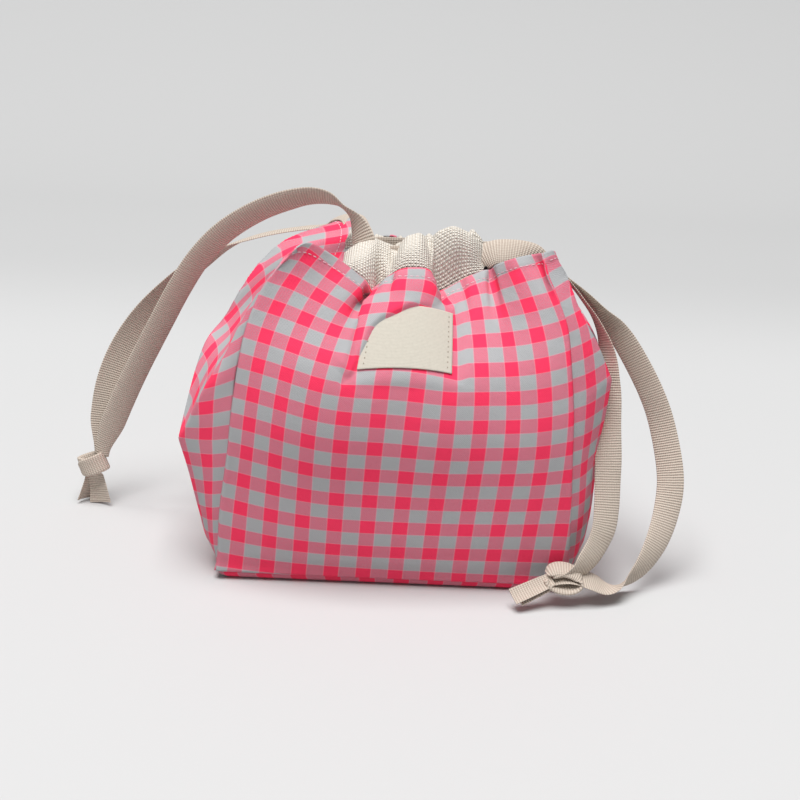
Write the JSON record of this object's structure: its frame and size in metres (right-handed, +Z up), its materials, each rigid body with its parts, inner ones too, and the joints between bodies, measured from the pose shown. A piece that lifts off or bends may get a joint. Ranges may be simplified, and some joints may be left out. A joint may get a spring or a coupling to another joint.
{
  "type": "drawstring project bag",
  "caption": "Soft box bag of checked cotton with a flat base, swollen gussets and a gathered linen casing that knotted flat tapes draw shut.",
  "frame": {"origin": "middle of the underside of the base, on the floor", "axes": "+Z up, +X to the right along the wide front, +Y towards the back; the front with the label faces -Y"},
  "size_m": [0.3803, 0.1712, 0.2244],
  "materials": {
    "checked_cotton": "woven checks of pink and pale grey",
    "lining_cotton": "plain weave",
    "felt": "pressed felt",
    "linen": "coarse plain weave, undyed",
    "tape_cotton": "ribbed herringbone tape, undyed",
    "label_cotton": "plain weave, bare",
    "tag_satin": "satin"
  },
  "bodies": {
    "bag": {"front_panel": "checked_cotton", "front_lining": "lining_cotton", "right_gusset": "checked_cotton", "right_lining": "lining_cotton", "back_panel": "checked_cotton", "back_lining": "lining_cotton", "left_gusset": "checked_cotton", "left_lining": "lining_cotton", "base_panel": "checked_cotton", "base_stiffener": "felt", "base_lining": "lining_cotton", "front_casing": "linen", "back_casing": "linen", "label": "label_cotton", "care_tag": "tag_satin"},
    "left_tape": {"left_tape_front_run": "tape_cotton", "left_tape_back_run": "tape_cotton", "left_tape_turn": "tape_cotton"},
    "left_loop": {"left_front_strand": "tape_cotton", "left_back_strand": "tape_cotton", "left_knot": "tape_cotton", "left_front_tail": "tape_cotton", "left_back_tail": "tape_cotton"},
    "right_tape": {"right_tape_front_run": "tape_cotton", "right_tape_back_run": "tape_cotton", "right_tape_turn": "tape_cotton"},
    "right_loop": {"right_front_strand": "tape_cotton", "right_back_strand": "tape_cotton", "right_knot": "tape_cotton", "right_front_tail": "tape_cotton", "right_back_tail": "tape_cotton"}
  },
  "joints": [
    {"name": "left_pull", "type": "slide", "parent": "bag", "child": "left_tape", "axis": [-1, 0, 0], "range_m": [0, 0.012], "deforming": ["left_tape_turn", "left_front_strand", "left_back_strand"]},
    {"name": "left_lift", "type": "hinge", "parent": "left_tape", "child": "left_loop", "pos_m": [-0.0219, 0, 0.188], "axis": [0, 1, 0], "range_deg": [0, 70], "deforming": ["left_front_strand", "left_back_strand"]},
    {"name": "right_pull", "type": "slide", "parent": "bag", "child": "right_tape", "axis": [1, 0, 0], "range_m": [0, 0.012], "deforming": ["right_tape_turn", "right_front_strand", "right_back_strand"]},
    {"name": "right_lift", "type": "hinge", "parent": "right_tape", "child": "right_loop", "pos_m": [0.0412, 0, 0.188], "axis": [0, -1, 0], "range_deg": [0, 70], "deforming": ["right_front_strand", "right_back_strand"]}
  ]
}
